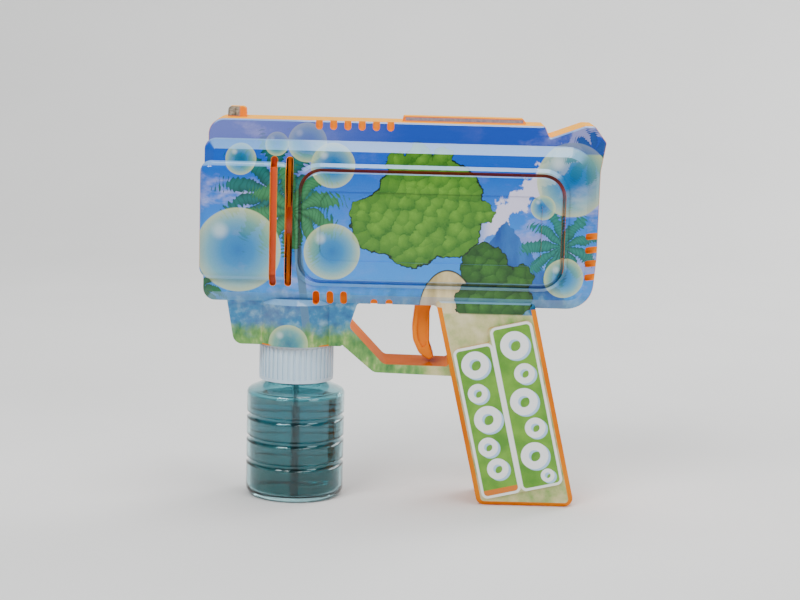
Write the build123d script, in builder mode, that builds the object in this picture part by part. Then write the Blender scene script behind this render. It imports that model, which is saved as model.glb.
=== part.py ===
from build123d import *
import math
import os

# Bubble machine: a pistol-shaped toy with a motor, a fan and a roller pump over a screw-on bottle.
os.makedirs("parts", exist_ok=True)

# ---------------------------------------------------------------- driving dimensions, mm
# Frame: -X is the muzzle, +X the rear, -Y the left side, +Z up. The bottle and the grip stand on Z = 0.
BODY_Z = 93.6  # underside of the body above the ground
BODY_TOP = 84.0  # heights below are counted from the underside of the body
MUZZLE_X = -92.5
BASE_FRONT_X = -89.3
REAR_X = 92.5
WALL = 2.0
BASE_HALF = 13.5  # half thickness of the base form
STEP_HALF = 18.0  # half thickness of the bevelled step on each side
STEP_BEVEL = 4.6
STEP_TOP = 75.0
BULGE_HALF = 22.0  # half thickness of the barrel
BULGE_LOW, BULGE_HIGH = 10.5, 65.0
BULGE_REAR_X = -50.2
RIM_HALF = 20.6
PANEL_HALF = 21.0
GRIP_HALF = 17.0
GRIP_LEAN = 13.0  # degrees
GRIP_LENGTH = 45.6  # front to rear, measured level
GRIP_FRONT_X = 17.0  # at the underside of the body
LEAN = math.tan(math.radians(GRIP_LEAN))

MOTOR_Z = 38.0  # drive axis above the underside of the body
MOTOR_X = -50.0  # front face of the motor
MOTOR_R, MOTOR_FLAT, MOTOR_LENGTH = 10.0, 7.7, 25.0
SHAFT_R = 1.0
FAN_X = -72.0  # front of the fan housing
FAN_R, FAN_DEPTH = 19.0, 17.5
BULKHEAD_X, BULKHEAD_BORE = -52.6, 16.2
IMPELLER_R = 15.5

GEAR_MODULE = 0.6
PINION_TEETH, GEAR_TEETH = 10, 40
GEAR_CENTRES = GEAR_MODULE * (PINION_TEETH + GEAR_TEETH) / 2
GEAR_X, GEAR_WIDTH = -20.0, 4.0
PRESSURE_ANGLE = math.radians(20)
BACKLASH = 0.2
PUMP_Z = MOTOR_Z - GEAR_CENTRES
PUMP_X, PUMP_DEPTH = -14.5, 13.0
PUMP_R = 13.6
ROLLER_R, ROLLER_ORBIT, ROLLER_PIN_R = 3.0, 5.6, 1.0
ROLLERS = 3
RUNNING_GAP = 0.05  # radial clearance of every turning fit
TUBE_R, TUBE_BORE = 1.4, 0.8
TUBE_ARC_R = 10.3

BOTTLE_X = -48.0
BOTTLE_R = 23.0
BOTTLE_SHOULDER = -43.5
BOTTLE_WALL = 1.0
BOTTLE_SHOULDER_RISE = 4.3
GROOVE_PITCH, GROOVE_TOP = 10.9, -55.3
GROOVE_R, GROOVE_OUT = 1.9, 0.9  # the grooves' round section, and how far outside the wall its centre lies
LIQUID_TOP = -47.2
NECK_R = 13.0
NECK_TOP = -24.0
COLLAR_R, COLLAR_TOP, COLLAR_BASE = 17.4, -17.0, -38.0
COLLAR_RIBS = 42
SOCKET_R = 20.5
SOCKET_BASE = -20.3
SPOUT_R = 7.6

TRIGGER_PIVOT = (12.0, 14.0)
TRIGGER_HALF = 6.0
PIN_R = 1.5

CELL_R, CELL_LENGTH = 7.0, 49.0
CELL_BASE = 10.2  # lower end of the cells above the ground end of the grip
CELL_PITCH, CELL_SIDE = 8.0, 6.9
HATCH_MIDDLE = 37.0  # up the grip from its foot

SCREW_R, SCREW_HEAD_R = 1.3, 2.7
SCREW_SEAT = 8.2  # height of the screw heads' seat above the parting plane
# x, z and inner wall of each pair of screw bosses
SCREWS = [
    (-70.0, 78.2, 11.5),
    (3.0, 78.2, 11.5),
    (72.0, 68.0, 15.9),
    (79.0, 12.0, 11.5),
    (-73.0, -9.0, 11.5),
    (-26.5, -5.5, 11.5),
    (34.0, -14.0, 14.9),
]

SIDE = Plane(origin=(0, 0, BODY_Z), x_dir=(1, 0, 0), z_dir=(0, -1, 0))
GROUND = -BODY_Z


def across(x, z=0.0):
    """Plane square to the barrel at x, with its origin z above the underside of the body."""
    return Plane(origin=(x, 0, BODY_Z + z), x_dir=(0, 1, 0), z_dir=(1, 0, 0))


def level(z, x=0.0, y=0.0):
    """Level plane z above the underside of the body."""
    return Plane(origin=(x, y, BODY_Z + z), x_dir=(1, 0, 0), z_dir=(0, 0, 1))


def side(y):
    """Plane parallel to the parting plane; its normal points to the left side."""
    return Plane(origin=(0, y, BODY_Z), x_dir=(1, 0, 0), z_dir=(0, -1, 0))


def grip_x(z):
    """Front edge of the grip at height z."""
    return GRIP_FRONT_X - z * LEAN


# grip axes: along the grip upwards, and from its front to its rear
GRIP_UP = Vector(-math.sin(math.radians(GRIP_LEAN)), 0, math.cos(math.radians(GRIP_LEAN)))
GRIP_ACROSS = Vector(math.cos(math.radians(GRIP_LEAN)), 0, math.sin(math.radians(GRIP_LEAN)))
GRIP_FOOT = Vector(grip_x(GROUND) + GRIP_LENGTH / 2, 0, 0)


def grip_side(y):
    """Plane parallel to the parting plane, turned with the grip; origin at its foot."""
    return Plane(origin=GRIP_FOOT + Vector(0, y, 0), x_dir=GRIP_ACROSS, z_dir=(0, -1, 0))


def grip_section(height):
    """Plane square to the grip's axis, height up from its foot."""
    return Plane(origin=GRIP_FOOT + GRIP_UP * height, x_dir=GRIP_ACROSS, z_dir=GRIP_UP)


def save(part, name):
    part.label = name
    export_step(part, f"parts/{name}.step")


def block(x0, x1, z0, z1, radius):
    """Rounded rectangle given by its edges, on a side plane."""
    with Locations(((x0 + x1) / 2, (z0 + z1) / 2)):
        RectangleRounded(x1 - x0, z1 - z0, radius)


# ---------------------------------------------------------------- outlines of the casing
with BuildSketch(SIDE) as base_outline:
    with BuildLine():
        FilletPolyline(
            (BASE_FRONT_X, 0), (BASE_FRONT_X, BODY_TOP), (64.0, BODY_TOP), (66.4, 78.6),
            (82.5, 84.6), (86.8, 84.6), (REAR_X, 77.0), (90.3, 64.0), (90.0, 24.0), (88.2, 0),
            radius=[5, 7.5, 1.2, 1.2, 2, 2, 2, 8, 30, 12],
            close=True,
        )
    make_face()

with BuildSketch(SIDE) as socket_outline:
    with BuildLine():
        FilletPolyline(
            (-80.6, 4), (-76.4, SOCKET_BASE), (-26.3, SOCKET_BASE), (-19.6, 4),
            radius=[0, 4.5, 1.5, 0],
            close=True,
        )
    make_face()

with BuildSketch(SIDE) as guard_outline:
    with BuildLine():
        FilletPolyline(
            (-30, 3), (-26.6, -19.4), (-11.4, -32.2), (28, -33.1), (28, 3),
            radius=[0, 3, 5, 0, 0],
            close=True,
        )
    make_face()
    with BuildLine():
        FilletPolyline(
            (-19.6, 0), (-23.2, -11.2), (-7.0, -28.2), (grip_x(-28.6), -28.6), (GRIP_FRONT_X, 0),
            radius=[1.5, 3, 4, 1.5, 2],
            close=True,
        )
    make_face(mode=Mode.SUBTRACT)

with BuildSketch(SIDE) as grip_outline:
    with BuildLine():
        FilletPolyline(
            (grip_x(4), 4), (grip_x(GROUND), GROUND), (grip_x(GROUND) + GRIP_LENGTH, GROUND),
            (grip_x(4) + GRIP_LENGTH, 4),
            radius=[0, 4, 4, 0],
            close=True,
        )
    make_face()

with BuildSketch(SIDE) as step_outline:
    with BuildLine():
        FilletPolyline(
            (-91, 0), (-91, STEP_TOP), (88.7, STEP_TOP), (88.7, 0),
            radius=[5.5, 5.5, 14.5, 12],
            close=True,
        )
    make_face()

with BuildSketch(SIDE) as bulge_outline:
    block(MUZZLE_X, BULGE_REAR_X, BULGE_LOW, BULGE_HIGH, 5.5)

# ---------------------------------------------------------------- outer form of one half
with BuildPart() as base_form:
    extrude(base_outline.sketch, amount=BASE_HALF)
    chamfer(base_form.faces().sort_by(Axis.Y)[0].edges(), 0.8)
    extrude(socket_outline.sketch, amount=BASE_HALF)
    extrude(guard_outline.sketch, amount=BASE_HALF)

with BuildPart() as socket_form:
    with BuildSketch(level(SOCKET_BASE, BOTTLE_X)):
        Circle(SOCKET_R)
    extrude(amount=1.5 - SOCKET_BASE)
    chamfer(socket_form.faces().sort_by(Axis.Z)[-1].edges(), 2.4)
    split(bisect_by=Plane.XZ, keep=Keep.TOP)

with BuildPart() as grip_form:
    extrude(grip_outline.sketch, amount=GRIP_HALF)
    chamfer(grip_form.faces().sort_by(Axis.Y)[0].edges(), 2.2)

with BuildPart() as step_form:
    extrude(step_outline.sketch, amount=STEP_HALF)
    chamfer(step_form.faces().sort_by(Axis.Y)[0].edges(), STEP_BEVEL)

with BuildPart() as bulge_form:
    extrude(bulge_outline.sketch, amount=BULGE_HALF)
    fillet(bulge_form.faces().sort_by(Axis.Y)[0].edges(), 4.2)

with BuildPart() as panel_form:
    with BuildSketch(SIDE):
        block(-50, 76, 8.5, 65, 12)
    extrude(amount=RIM_HALF)
    chamfer(panel_form.faces().sort_by(Axis.Y)[0].edges(), 1.6)
    with BuildSketch(side(-RIM_HALF)):
        block(-47.4, 74.4, 10.0, 62.7, 10.6)
    extrude(amount=-3.4, mode=Mode.SUBTRACT)
    with BuildSketch(side(0)):
        block(-46, 73, 11.4, 61.3, 9.4)
    extrude(amount=PANEL_HALF)
    fillet(panel_form.faces().sort_by(Axis.Y)[0].edges(), 1.4)
    with BuildSketch(side(-PANEL_HALF)):
        block(-37.5, 63.7, 20.5, 52.5, 6)
    extrude(amount=-0.7, mode=Mode.SUBTRACT)

# sight and top rail
with BuildPart() as top_form:
    with BuildSketch(SIDE):
        with BuildLine():
            FilletPolyline(
                (-81.6, 80), (-81.2, 88.8), (-73.2, 88.8), (-72.6, 80),
                radius=[0, 1.6, 1.6, 0],
                close=True,
            )
        make_face()
    extrude(amount=3.2)
    with BuildSketch(SIDE):
        with BuildLine():
            FilletPolyline(
                (-1.5, 80), (-0.6, 86.4), (54.5, 86.4), (58.5, 80),
                radius=[0, 0.8, 0.8, 0],
                close=True,
            )
        make_face()
    extrude(amount=5.0)

with BuildPart() as half_form:
    add(base_form.part)
    add(socket_form.part)
    add(grip_form.part)
    add(step_form.part)
    add(bulge_form.part)
    add(panel_form.part)
    add(top_form.part)
    # cavities, each one wall inside its own form
    with BuildSketch(SIDE):
        offset(base_outline.sketch_local, amount=-WALL)
    extrude(amount=BASE_HALF - WALL, mode=Mode.SUBTRACT)
    with BuildSketch(SIDE):
        block(-84.6, 82.2, 6.5, 68.5, 8)
    extrude(amount=STEP_HALF - WALL, mode=Mode.SUBTRACT)
    with BuildSketch(SIDE):
        block(MUZZLE_X + WALL, -52.2, 12.6, 63, 4)
    extrude(amount=BULGE_HALF - WALL, mode=Mode.SUBTRACT)
    with BuildSketch(SIDE):
        block(-42, 69, 15.4, 57.3, 6)
    extrude(amount=PANEL_HALF - WALL, mode=Mode.SUBTRACT)
    with BuildSketch(SIDE):
        with BuildLine():
            Polyline((-77.4, 3), (-75.2, -12.6), (-25.2, -12.6), (-22.2, 3), close=True)
        make_face()
    extrude(amount=BASE_HALF - WALL, mode=Mode.SUBTRACT)
    with BuildSketch(SIDE):
        offset(grip_outline.sketch_local, amount=-WALL)
    extrude(amount=GRIP_HALF - WALL, mode=Mode.SUBTRACT)
    # the grip opens into the body, and the trigger passes through the underside
    with BuildSketch(SIDE):
        with BuildLine():
            Polyline(
                (grip_x(0) + WALL + 1, -3), (grip_x(0) + WALL + 1, 8), (60, 8), (60, -3), close=True
            )
        make_face()
    extrude(amount=BASE_HALF - WALL, mode=Mode.SUBTRACT)
    with BuildSketch(SIDE):
        block(3.6, GRIP_FRONT_X + 2.5, -3, 4, 0.4)
    extrude(amount=TRIGGER_HALF + 0.6, mode=Mode.SUBTRACT)
    # bulkhead round the fan cover, with gaps for the feed tube and the light's wires
    with BuildSketch(across(BULKHEAD_X)):
        with Locations((-STEP_HALF / 2, 37.5)):
            Rectangle(STEP_HALF, 63.5)
        with Locations((0, MOTOR_Z)):
            Circle(BULKHEAD_BORE, mode=Mode.SUBTRACT)
        with Locations((0, 6.5)):
            Rectangle(26, 9, mode=Mode.SUBTRACT)
        with Locations((0, 60)):
            Rectangle(14, 6, mode=Mode.SUBTRACT)
    extrude(amount=1.5)
    # socket for the collar and the spout's seat
    with BuildSketch(level(SOCKET_BASE, BOTTLE_X)):
        Circle(COLLAR_R + 0.6)
    extrude(amount=COLLAR_TOP + 2.4 - SOCKET_BASE, mode=Mode.SUBTRACT)
    with BuildSketch(level(SOCKET_BASE, BOTTLE_X)):
        Circle(SPOUT_R + 0.2)
    extrude(amount=10, mode=Mode.SUBTRACT)
    # muzzle
    with BuildSketch(across(MUZZLE_X - 1, MOTOR_Z)):
        Circle(18.0)
    extrude(amount=4, mode=Mode.SUBTRACT)
    with BuildSketch(across(MUZZLE_X - 1, 60.2)):
        with Locations((-7, 0)):
            Circle(1.65)
    extrude(amount=4, mode=Mode.SUBTRACT)
    # two long air slots through the barrel
    with BuildSketch(side(-STEP_HALF + 3)):
        with Locations((-58.7, 37.7), (-51.7, 37.7)):
            SlotOverall(59.4, 2.9, rotation=90)
    extrude(amount=10, mode=Mode.SUBTRACT)
    # short slots in the lower bevel, notches in the top edge and over the finger hole
    with BuildSketch(side(-BASE_HALF + 0.9)):
        with Locations((-38.7, 2.9), (-32.3, 2.9), (-26, 2.9)):
            SlotOverall(6.2, 2.9, rotation=90)
    extrude(amount=10, mode=Mode.SUBTRACT)
    with BuildSketch(side(-BASE_HALF + 1.1)):
        with Locations([(-38.8 + 6.5 * i, 83.2) for i in range(6)]):
            SlotOverall(6.4, 2.9, rotation=90)
    extrude(amount=10, mode=Mode.SUBTRACT)
    with BuildSketch(side(-BASE_HALF + 1.5)):
        with Locations((-12, 0.4), (-5, 0.4)):
            SlotOverall(4, 3, rotation=90)
    extrude(amount=10, mode=Mode.SUBTRACT)
    # four slots across the rear bevel
    with BuildSketch(side(-BASE_HALF + 0.2)):
        with Locations([(87.4, 15.3 + 6.3 * i) for i in range(4)]):
            Rectangle(6.4, 2.7)
    extrude(amount=10, mode=Mode.SUBTRACT)

# ---------------------------------------------------------------- casing halves
with BuildPart() as left_casing:
    add(half_form.part)
    # raised plaque along the grip
    with BuildSketch(grip_side(-GRIP_HALF + 0.2)):
        with BuildLine():
            FilletPolyline(
                (-19.2, 7.5), (-19.2, 80), (-1.2, 80), (-1.2, 86.5), (19.2, 86.5), (19.2, 7.5),
                radius=[3, 3, 1.5, 1.5, 3, 3],
                close=True,
            )
        make_face()
    extrude(amount=0.9)
    for x, z, wall_y in SCREWS:
        with BuildSketch(side(0)):
            with Locations((x, z)):
                Circle(3.2)
        extrude(amount=wall_y + 0.5)
        with BuildSketch(side(0)):
            with Locations((x, z)):
                Circle(SCREW_R + 0.05)
        extrude(amount=10, mode=Mode.SUBTRACT)
    # bosses for the trigger pin, and the rib behind its spring
    with BuildSketch(side(-TRIGGER_HALF - 0.4)):
        with Locations(TRIGGER_PIVOT):
            Circle(3.6)
    extrude(amount=10)
    with BuildSketch(side(-TRIGGER_HALF - 0.4)):
        with Locations(TRIGGER_PIVOT):
            Circle(PIN_R + RUNNING_GAP)
    extrude(amount=5, mode=Mode.SUBTRACT)
    with BuildSketch(side(-0.2)):
        block(25, 27, 1.0, 9.6, 0.5)
    extrude(amount=12)

with BuildPart() as right_casing:
    add(half_form.part.mirror(Plane.XZ))
    for x, z, wall_y in SCREWS:
        with BuildSketch(side(0)):
            with Locations((x, z)):
                Circle(4.2)
        extrude(amount=-wall_y - 0.5)
        with BuildSketch(side(0)):
            with Locations((x, z)):
                Circle(SCREW_R + 0.3)
        extrude(amount=-SCREW_SEAT - 1, mode=Mode.SUBTRACT)
        with BuildSketch(side(SCREW_SEAT)):
            with Locations((x, z)):
                Circle(SCREW_HEAD_R + 0.3)
        extrude(amount=-20, mode=Mode.SUBTRACT)
    with BuildSketch(side(TRIGGER_HALF + 0.4)):
        with Locations(TRIGGER_PIVOT):
            Circle(3.6)
    extrude(amount=-10)
    with BuildSketch(side(TRIGGER_HALF + 0.4)):
        with Locations(TRIGGER_PIVOT):
            Circle(PIN_R + RUNNING_GAP)
    extrude(amount=-5, mode=Mode.SUBTRACT)
    # battery hatch
    with BuildSketch(grip_side(GRIP_HALF + 1)):
        with Locations((0, HATCH_MIDDLE)):
            RectangleRounded(33, 58, 2.5)
    extrude(amount=4, mode=Mode.SUBTRACT)

save(left_casing.part, "left_casing")
save(right_casing.part, "right_casing")

# ---------------------------------------------------------------- casing screws
with BuildPart() as casing_screws:
    for x, z, wall_y in SCREWS:
        with BuildSketch(side(SCREW_SEAT)):
            with Locations((x, z)):
                Circle(SCREW_HEAD_R)
        extrude(amount=-1.8)
        with BuildSketch(side(SCREW_SEAT + 1.8)):
            with Locations((x, z)):
                Rectangle(3.0, 0.7)
                Rectangle(0.7, 3.0)
        extrude(amount=0.9, mode=Mode.SUBTRACT)
        with BuildSketch(side(SCREW_SEAT)):
            with Locations((x, z)):
                Circle(SCREW_R)
        extrude(amount=SCREW_SEAT + 9)
save(casing_screws.part, "casing_screws")

# ---------------------------------------------------------------- muzzle, nozzle and air path
with BuildPart() as muzzle_ring:
    with BuildSketch(across(MUZZLE_X, MOTOR_Z)):
        Circle(17.9)
        Circle(15.9, mode=Mode.SUBTRACT)
    extrude(amount=2.2)
    with BuildSketch(across(MUZZLE_X + WALL + 0.1, MOTOR_Z)):
        Circle(19.4)
        Circle(15.9, mode=Mode.SUBTRACT)
    extrude(amount=1.4)
    chamfer(muzzle_ring.faces().sort_by(Axis.X)[0].edges().sort_by(SortBy.RADIUS)[0], 0.8)
save(muzzle_ring.part, "muzzle_ring")

NOZZLE_X = -88.9
with BuildPart() as bubble_nozzle:
    with BuildSketch(across(NOZZLE_X, MOTOR_Z)):
        Circle(17.6)
    extrude(amount=5.2)
    with BuildSketch(across(NOZZLE_X, MOTOR_Z)):
        Circle(15.9)
    extrude(amount=2.2, mode=Mode.SUBTRACT)
    with BuildSketch(across(NOZZLE_X, MOTOR_Z)):
        Circle(3.4)
        with PolarLocations(9.6, 6):
            Circle(3.4)
    extrude(amount=8, mode=Mode.SUBTRACT)
    # raised lips that hold the film
    with BuildSketch(across(NOZZLE_X + 1.0, MOTOR_Z)):
        Circle(4.2)
        with PolarLocations(9.6, 6):
            Circle(4.2)
        Circle(3.4, mode=Mode.SUBTRACT)
        with PolarLocations(9.6, 6):
            Circle(3.4, mode=Mode.SUBTRACT)
    extrude(amount=1.4)
    # spigot for the feed tube
    with BuildSketch(level(MOTOR_Z - 22.5, NOZZLE_X + 3.4)):
        Circle(1.5)
    extrude(amount=6)
save(bubble_nozzle.part, "bubble_nozzle")

DUCT_X = NOZZLE_X + 5.3
with BuildPart() as air_duct:
    with BuildSketch(across(DUCT_X, MOTOR_Z)):
        Circle(17.0)
    with BuildSketch(across(FAN_X - 0.1, MOTOR_Z)):
        Circle(13.2)
    loft()
    with BuildSketch(across(DUCT_X, MOTOR_Z)):
        Circle(15.8)
    with BuildSketch(across(FAN_X - 0.1, MOTOR_Z)):
        Circle(12.0)
    loft(mode=Mode.SUBTRACT)
save(air_duct.part, "air_duct")

with BuildPart() as fan_housing:
    with BuildSketch(across(FAN_X, MOTOR_Z)):
        Circle(FAN_R)
    extrude(amount=FAN_DEPTH)
    with BuildSketch(across(FAN_X + 1.5, MOTOR_Z)):
        Circle(FAN_R - 1.4)
    extrude(amount=FAN_DEPTH, mode=Mode.SUBTRACT)
    with BuildSketch(across(FAN_X, MOTOR_Z)):
        Circle(12)
    extrude(amount=2, mode=Mode.SUBTRACT)
    # flange that closes the barrel behind the first long air slot, with gaps for the wires and the feed tube
    with BuildSketch(across(-60.1, MOTOR_Z)):
        Rectangle(2 * FAN_R + 1.4, 49.4)
        Rectangle(31, 60.6)
        Circle(FAN_R - 1.4, mode=Mode.SUBTRACT)
        with Locations((0, 22.5)):
            Rectangle(14, 6, mode=Mode.SUBTRACT)
        with Locations((7.4, -28.5)):
            Rectangle(4.4, 8, mode=Mode.SUBTRACT)
    extrude(amount=2.8)
    # stator vanes in front of the impeller
    with BuildSketch(across(FAN_X, MOTOR_Z)):
        Circle(3.5)
        with PolarLocations(7.5, 5):
            Rectangle(10, 1)
    extrude(amount=1.5)
save(fan_housing.part, "fan_housing")

with BuildPart() as fan_cover:
    with BuildSketch(across(FAN_X + FAN_DEPTH + 0.1, MOTOR_Z)):
        Circle(FAN_R)
        Circle(10.5, mode=Mode.SUBTRACT)
    extrude(amount=1.4)
    with BuildSketch(across(FAN_X + FAN_DEPTH + 1.5, MOTOR_Z)):
        Circle(BULKHEAD_BORE - 0.2)
        Circle(BULKHEAD_BORE - 1.4, mode=Mode.SUBTRACT)
    extrude(amount=3.2)
    with BuildSketch(across(FAN_X + FAN_DEPTH - 1.2, MOTOR_Z)):
        Circle(FAN_R - 1.6)
        Circle(FAN_R - 2.8, mode=Mode.SUBTRACT)
    extrude(amount=1.3)
save(fan_cover.part, "fan_cover")

IMPELLER_X = FAN_X + 3.0
with BuildPart() as fan_impeller:
    with BuildSketch(across(IMPELLER_X, MOTOR_Z)):
        Circle(IMPELLER_R)
        Circle(10.5, mode=Mode.SUBTRACT)
    extrude(amount=1)
    with BuildSketch(across(IMPELLER_X + 9.0, MOTOR_Z)):
        Circle(IMPELLER_R)
    extrude(amount=1)
    with BuildSketch(across(IMPELLER_X + 1, MOTOR_Z)):
        with PolarLocations(11.5, 12):
            Rectangle(7, 0.9, rotation=24)
    extrude(amount=8)
    with BuildSketch(across(IMPELLER_X + 3, MOTOR_Z)):
        Circle(3.4)
    extrude(amount=10)
    with BuildSketch(across(IMPELLER_X, MOTOR_Z)):
        Circle(SHAFT_R)
    extrude(amount=20, mode=Mode.SUBTRACT)
save(fan_impeller.part, "fan_impeller")

# ---------------------------------------------------------------- motor
with BuildPart() as motor_can:
    with BuildSketch(across(MOTOR_X, MOTOR_Z)):
        Circle(MOTOR_R)
        Rectangle(2 * MOTOR_FLAT, 3 * MOTOR_R, mode=Mode.INTERSECT)
    extrude(amount=MOTOR_LENGTH)
    fillet(motor_can.faces().sort_by(Axis.X)[0].edges(), 1.2)
    with BuildSketch(across(MOTOR_X - 1.4, MOTOR_Z)):
        Circle(3.0)
    extrude(amount=1.6)
    with BuildSketch(across(MOTOR_X - 5, MOTOR_Z)):
        Circle(SHAFT_R + RUNNING_GAP)
    extrude(amount=40, mode=Mode.SUBTRACT)
save(motor_can.part, "motor_can")

with BuildPart() as motor_endbell:
    with BuildSketch(across(MOTOR_X + MOTOR_LENGTH, MOTOR_Z)):
        Circle(MOTOR_R - 0.6)
        Rectangle(2 * MOTOR_FLAT - 1.2, 3 * MOTOR_R, mode=Mode.INTERSECT)
    extrude(amount=2.2)
    with BuildSketch(across(MOTOR_X + MOTOR_LENGTH + 2.2, MOTOR_Z)):
        Circle(2.6)
        with Locations((5, 7), (-5, 7)):
            Rectangle(2.2, 0.6)
    extrude(amount=1.4)
    with BuildSketch(across(MOTOR_X, MOTOR_Z)):
        Circle(SHAFT_R + RUNNING_GAP)
    extrude(amount=40, mode=Mode.SUBTRACT)
save(motor_endbell.part, "motor_endbell")

SHAFT_FRONT, SHAFT_REAR = IMPELLER_X + 2.0, GEAR_X + GEAR_WIDTH + 0.6
with BuildPart() as motor_shaft:
    with BuildSketch(across(SHAFT_FRONT, MOTOR_Z)):
        Circle(SHAFT_R)
    extrude(amount=SHAFT_REAR - SHAFT_FRONT)
save(motor_shaft.part, "motor_shaft")


# ---------------------------------------------------------------- gear pair
def involute(angle):
    return math.tan(angle) - angle


def gear_points(teeth, first_angle):
    """Points of a spur gear's outline, one tooth after another, the first centred on first_angle."""
    pitch_r = GEAR_MODULE * teeth / 2
    base_r = pitch_r * math.cos(PRESSURE_ANGLE)
    tip_r = pitch_r + 0.75 * GEAR_MODULE
    root_r = pitch_r - 1.15 * GEAR_MODULE
    half_pitch = (math.pi * GEAR_MODULE / 2 - BACKLASH) / (2 * pitch_r)
    flank = []
    for r in (max(base_r, root_r + 0.05), pitch_r, (pitch_r + tip_r) / 2, tip_r):
        flank.append((r, half_pitch + involute(PRESSURE_ANGLE) - involute(math.acos(base_r / r))))
    flank.insert(0, (root_r, flank[0][1]))
    points = []
    for tooth in range(teeth):
        middle = first_angle + 2 * math.pi * tooth / teeth
        for r, half in flank:
            points.append((r * math.cos(middle - half), r * math.sin(middle - half)))
        for r, half in reversed(flank):
            points.append((r * math.cos(middle + half), r * math.sin(middle + half)))
    return points


with BuildPart() as drive_pinion:
    with BuildSketch(across(GEAR_X, MOTOR_Z)):
        with BuildLine():
            Polyline(gear_points(PINION_TEETH, -math.pi / 2), close=True)
        make_face()
        Circle(SHAFT_R, mode=Mode.SUBTRACT)
    extrude(amount=GEAR_WIDTH)
save(drive_pinion.part, "drive_pinion")

PIN_REAR_X = PUMP_X + 11.0
with BuildPart() as pump_gear:
    with BuildSketch(across(GEAR_X, PUMP_Z)):
        with BuildLine():
            Polyline(gear_points(GEAR_TEETH, math.pi / 2 + math.pi / GEAR_TEETH), close=True)
        make_face()
        with PolarLocations(ROLLER_ORBIT, ROLLERS, start_angle=90 + 60):
            Circle(1.6, mode=Mode.SUBTRACT)
    extrude(amount=GEAR_WIDTH - 0.6)
    with BuildSketch(across(GEAR_X + GEAR_WIDTH - 0.6, PUMP_Z)):
        Circle(7.4)
    extrude(amount=0.8)
    with BuildSketch(across(GEAR_X + GEAR_WIDTH - 0.6, PUMP_Z)):
        Circle(2.0)
        with PolarLocations(ROLLER_ORBIT, ROLLERS, start_angle=90):
            Circle(ROLLER_PIN_R)
    extrude(amount=PIN_REAR_X - GEAR_X - GEAR_WIDTH + 0.6)
    with BuildSketch(across(PIN_REAR_X, PUMP_Z)):
        Circle(2.0)
    extrude(amount=3.4)
save(pump_gear.part, "pump_gear")

for number in range(ROLLERS):
    angle = math.radians(90 + 360 * number / ROLLERS)
    with BuildPart() as pump_roller:
        with BuildSketch(across(PUMP_X + 0.8, PUMP_Z)):
            with Locations((ROLLER_ORBIT * math.cos(angle), ROLLER_ORBIT * math.sin(angle))):
                Circle(ROLLER_R)
                Circle(ROLLER_PIN_R + RUNNING_GAP, mode=Mode.SUBTRACT)
        extrude(amount=9.8)
        chamfer(pump_roller.edges().filter_by(GeomType.CIRCLE).group_by(SortBy.RADIUS)[-1], 0.4)
    save(pump_roller.part, f"pump_roller_{number + 1}")

# ---------------------------------------------------------------- roller pump
TUBE_X = PUMP_X + 5.6
with BuildPart() as pump_housing:
    with BuildSketch(across(PUMP_X, PUMP_Z)):
        Circle(PUMP_R)
    extrude(amount=PUMP_DEPTH)
    with BuildSketch(across(PUMP_X - 1, PUMP_Z)):
        Circle(TUBE_ARC_R + TUBE_R + 0.05)
    extrude(amount=12.2, mode=Mode.SUBTRACT)
    with BuildSketch(across(PUMP_X, PUMP_Z)):
        Circle(2.0 + RUNNING_GAP)
    extrude(amount=PUMP_DEPTH, mode=Mode.SUBTRACT)
    # the two legs of the tube leave downwards
    with BuildSketch(across(TUBE_X - TUBE_R - 0.2, PUMP_Z)):
        with Locations((TUBE_ARC_R, -8), (-TUBE_ARC_R, -8)):
            Rectangle(2 * TUBE_R + 0.6, 14)
    extrude(amount=2 * TUBE_R + 0.4, mode=Mode.SUBTRACT)
save(pump_housing.part, "pump_housing")

with BuildPart() as pump_cover:
    with BuildSketch(across(PUMP_X - 0.7, PUMP_Z)):
        Circle(PUMP_R)
        Circle(8.2, mode=Mode.SUBTRACT)
    extrude(amount=0.7)
save(pump_cover.part, "pump_cover")


def tube(path, radius, bore):
    """Round tube along a path of straight runs and tangent arcs."""
    with BuildPart() as piece:
        with BuildSketch(Plane(origin=path @ 0, z_dir=path % 0)):
            Circle(radius)
            if bore:
                Circle(bore, mode=Mode.SUBTRACT)
        sweep(path=path)
    return piece.part


# one silicone tube runs from the bottle's foot over the rollers to the nozzle
with BuildLine() as pump_path:
    ThreePointArc(
        (TUBE_X, -TUBE_ARC_R, BODY_Z + PUMP_Z),
        (TUBE_X, 0, BODY_Z + PUMP_Z + TUBE_ARC_R),
        (TUBE_X, TUBE_ARC_R, BODY_Z + PUMP_Z),
    )
save(tube(pump_path.wire(), TUBE_R, TUBE_BORE), "pump_tube")

with BuildLine() as inlet_path:
    FilletPolyline(
        (TUBE_X, -TUBE_ARC_R, BODY_Z + PUMP_Z),
        (TUBE_X, -TUBE_ARC_R, BODY_Z + 5.0),
        (-26.0, -5.0, BODY_Z + 4.4),
        (BOTTLE_X, 0, BODY_Z + 3.6),
        (BOTTLE_X, 0, BODY_Z - 86.5),
        radius=[4.2, 12, 5.5],
    )
save(tube(inlet_path.wire(), TUBE_R, TUBE_BORE), "dip_tube")

with BuildLine() as outlet_path:
    FilletPolyline(
        (TUBE_X, TUBE_ARC_R, BODY_Z + PUMP_Z),
        (TUBE_X, TUBE_ARC_R, BODY_Z + 9.0),
        (-30.0, 9.0, BODY_Z + 8.6),
        (-78.0, 6.0, BODY_Z + 9.2),
        (NOZZLE_X + 3.4, 0, BODY_Z + 9.8),
        (NOZZLE_X + 3.4, 0, BODY_Z + MOTOR_Z - 22.5),
        radius=[4.2, 14, 9, 2.6],
    )
save(tube(outlet_path.wire(), TUBE_R, TUBE_BORE), "feed_tube")

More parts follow.
